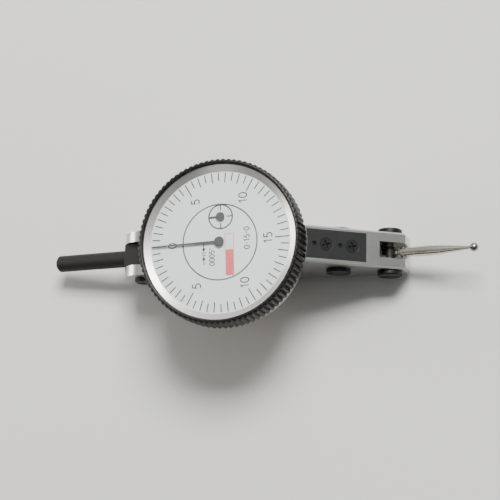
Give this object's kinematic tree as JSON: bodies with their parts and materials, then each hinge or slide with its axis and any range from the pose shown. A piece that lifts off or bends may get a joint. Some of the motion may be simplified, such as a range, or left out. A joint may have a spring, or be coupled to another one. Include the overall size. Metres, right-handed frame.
{
  "type": "dial indicator",
  "caption": "Lever-type dial indicator with a knurled turning bezel, revolution counter, swivelling ball contact in a forked wedge nose and a swivelling round stem.",
  "frame": {"origin": "on the pointer axis, at the flat of the dovetail rail that the body lies on", "axes": "+Z is the dial's normal, +X runs towards the contact, -X towards the stem"},
  "size_m": [0.1029, 0.038, 0.0257],
  "materials": {
    "satin_chromed_steel": "satin chrome over fine-ground steel",
    "blackened_steel": "black oxide",
    "grey_stem_steel": "black-grey coated steel, turned",
    "bright_contact_steel": "fine turned, bright",
    "ground_carbide": "ground and lapped carbide",
    "phosphor_bronze": "rolled strip",
    "black_anodised_aluminium": "black anodised, knurled",
    "acrylic_crystal": "clear, polished",
    "bright_ring_aluminium": "turned and clear anodised",
    "black_gasket_rubber": "moulded",
    "enamelled_dial": "off-white satin enamel",
    "machined_brass": "machined",
    "hardened_steel": "hardened and polished",
    "synthetic_ruby": "polished"
  },
  "bodies": {
    "body": {"body_frame": "satin_chromed_steel", "nose_plate": "blackened_steel", "nose_plate_screws": "blackened_steel", "segment_bearing_caps": "blackened_steel", "crown_bearing_caps": "blackened_steel", "contact_pivot_screws": "blackened_steel", "stem_pivot_screws": "blackened_steel", "contact_washers": "phosphor_bronze", "dial_pan": "machined_brass", "pan_screws": "hardened_steel", "bezel_retaining_wire": "hardened_steel", "lower_plate": "machined_brass", "upper_plate": "machined_brass", "lower_pillars": "machined_brass", "upper_pillars": "machined_brass", "movement_screws": "hardened_steel", "jewels": "synthetic_ruby", "dial_centre_disc": "enamelled_dial", "dial_feet": "machined_brass", "hairspring_stud": "hardened_steel"},
    "bezel": {"bezel_ring": "black_anodised_aluminium", "crystal": "acrylic_crystal", "crystal_gasket": "black_gasket_rubber", "bright_inner_ring": "bright_ring_aluminium", "dial_scale_ring": "enamelled_dial"},
    "stem": {"stem_block": "grey_stem_steel", "stem": "grey_stem_steel"},
    "lever": {"measuring_lever": "hardened_steel"},
    "contact": {"stylus_holder": "blackened_steel", "contact_shank": "bright_contact_steel", "contact_ball": "ground_carbide"},
    "segment": {"gear_segment": "machined_brass", "segment_arbor": "hardened_steel"},
    "crown": {"crown_wheel": "machined_brass", "crown_pinion": "hardened_steel", "crown_arbor": "hardened_steel", "hairspring": "hardened_steel"},
    "pointer": {"centre_arbor": "hardened_steel", "counter_drive_pinion": "machined_brass", "pointer": "blackened_steel", "pointer_hub": "blackened_steel"},
    "counter": {"counter_arbor": "hardened_steel", "counter_wheel": "machined_brass", "counter_hand": "blackened_steel", "counter_hub": "blackened_steel"}
  },
  "joints": [
    {"name": "bezel_turn", "type": "hinge", "parent": "body", "child": "bezel", "pos_m": [0, 0, 0.0238], "axis": [0, 0, 1], "continuous": true},
    {"name": "stem_swivel", "type": "hinge", "parent": "body", "child": "stem", "pos_m": [-0.0222, 0, 0.01], "axis": [0, 1, 0], "range_deg": [-80, 90]},
    {"name": "lever_stroke", "type": "hinge", "parent": "body", "child": "lever", "pos_m": [0.0351, 0, 0.0058], "axis": [0, -1, 0], "range_deg": [-0.02, 4.38]},
    {"name": "contact_swivel", "type": "hinge", "parent": "lever", "child": "contact", "pos_m": [0.0351, 0, 0.0058], "axis": [0, -1, 0], "range_deg": [-95, 75]},
    {"name": "segment_turn", "type": "hinge", "parent": "body", "child": "segment", "pos_m": [0.024, 0, 0.0096], "axis": [0, 1, 0], "range_deg": [-0.05, 13.14]},
    {"name": "crown_turn", "type": "hinge", "parent": "body", "child": "crown", "pos_m": [0, 0, 0.0101], "axis": [0, -1, 0], "range_deg": [-0.5, 144.5], "stiffness_Nm_per_rad": 0.00002, "springref_deg": -171.89},
    {"name": "pointer_turn", "type": "hinge", "parent": "body", "child": "pointer", "pos_m": [0, 0, 0.0243], "axis": [0, 0, -1], "range_deg": [0, 720]},
    {"name": "counter_turn", "type": "hinge", "parent": "body", "child": "counter", "pos_m": [0, 0.00576, 0.024], "axis": [0, 0, 1], "range_deg": [-0.5, 144.5]}
  ],
  "couplings": [
    {"joint": "lever_stroke", "follows": "pointer_turn", "ratio": 0.0060578},
    {"joint": "segment_turn", "follows": "pointer_turn", "ratio": 0.018182},
    {"joint": "crown_turn", "follows": "pointer_turn", "ratio": 0.2},
    {"joint": "counter_turn", "follows": "pointer_turn", "ratio": 0.2}
  ]
}
